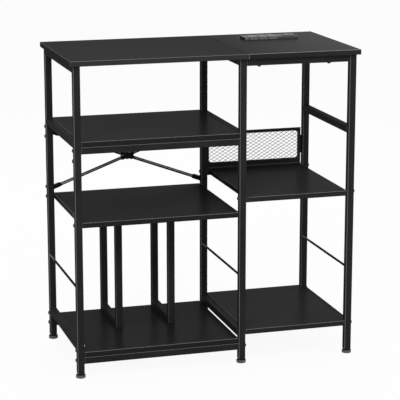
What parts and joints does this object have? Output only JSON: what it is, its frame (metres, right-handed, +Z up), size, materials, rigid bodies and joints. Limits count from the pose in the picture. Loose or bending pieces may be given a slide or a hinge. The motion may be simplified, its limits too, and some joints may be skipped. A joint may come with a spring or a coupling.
{
  "type": "record player stand",
  "caption": "Black steel and board record player stand: open shelves beside a taller right bay, record bays with bent-tube dividers, a net back panel and a power strip in the top.",
  "frame": {"origin": "on the floor, under the middle of the top boards", "axes": "+X to the right seen from the front, +Y to the back, +Z up"},
  "size_m": [0.86, 0.424, 0.9305],
  "materials": {
    "black_steel": "satin powder coat",
    "black_board": "semi-matte black laminate",
    "grey_housing": "fine matte moulding",
    "pale_insert": "satin moulding",
    "dark_insert": "matte moulding",
    "foot_plastic": "matte moulding"
  },
  "bodies": {
    "stand": {"brace_rod_falling": "black_steel", "brace_rod_rising": "black_steel", "divider_left": "black_steel", "divider_right": "black_steel", "guard_rod_left": "black_steel", "guard_rod_middle": "black_steel", "guard_rod_right": "black_steel", "lower_rail_left": "black_steel", "lower_rail_middle": "black_steel", "lower_rail_right": "black_steel", "lower_shelf": "black_board", "lower_shelf_rail_back": "black_steel", "lower_shelf_rail_front": "black_steel", "middle_shelf": "black_board", "panel_frame": "black_steel", "panel_net": "black_steel", "post_left_back": "black_steel", "post_left_front": "black_steel", "post_middle_back": "black_steel", "post_middle_front": "black_steel", "post_right_back": "black_steel", "post_right_front": "black_steel", "power_strip_body": "grey_housing", "right_lower_shelf": "black_board", "right_middle_shelf": "black_board", "right_top_rail_back": "black_steel", "right_top_rail_front": "black_steel", "shelf_spacer_back": "black_steel", "shelf_spacer_front": "black_steel", "socket_1": "pale_insert", "socket_2": "pale_insert", "socket_3": "pale_insert", "top_board_left": "black_board", "top_board_right": "black_board", "top_rail_left": "black_steel", "top_rail_middle": "black_steel", "top_rail_right": "black_steel", "upper_rail_left": "black_steel", "upper_rail_middle": "black_steel", "upper_rail_right": "black_steel", "upper_shelf": "black_board", "upper_shelf_rail_back": "black_steel", "upper_shelf_rail_front": "black_steel", "usb_module": "dark_insert"},
    "foot_left_back_body": {"foot_left_back": "foot_plastic"},
    "foot_left_front_body": {"foot_left_front": "foot_plastic"},
    "foot_middle_back_body": {"foot_middle_back": "foot_plastic"},
    "foot_middle_front_body": {"foot_middle_front": "foot_plastic"},
    "foot_right_back_body": {"foot_right_back": "foot_plastic"},
    "foot_right_front_body": {"foot_right_front": "foot_plastic"}
  },
  "joints": [
    {"name": "foot_left_back_screw", "type": "slide", "parent": "stand", "child": "foot_left_back_body", "axis": [0, 0, -1], "range_m": [0, 0.008]},
    {"name": "foot_left_front_screw", "type": "slide", "parent": "stand", "child": "foot_left_front_body", "axis": [0, 0, -1], "range_m": [0, 0.008]},
    {"name": "foot_middle_back_screw", "type": "slide", "parent": "stand", "child": "foot_middle_back_body", "axis": [0, 0, -1], "range_m": [0, 0.008]},
    {"name": "foot_middle_front_screw", "type": "slide", "parent": "stand", "child": "foot_middle_front_body", "axis": [0, 0, -1], "range_m": [0, 0.008]},
    {"name": "foot_right_back_screw", "type": "slide", "parent": "stand", "child": "foot_right_back_body", "axis": [0, 0, -1], "range_m": [0, 0.008]},
    {"name": "foot_right_front_screw", "type": "slide", "parent": "stand", "child": "foot_right_front_body", "axis": [0, 0, -1], "range_m": [0, 0.008]}
  ]
}
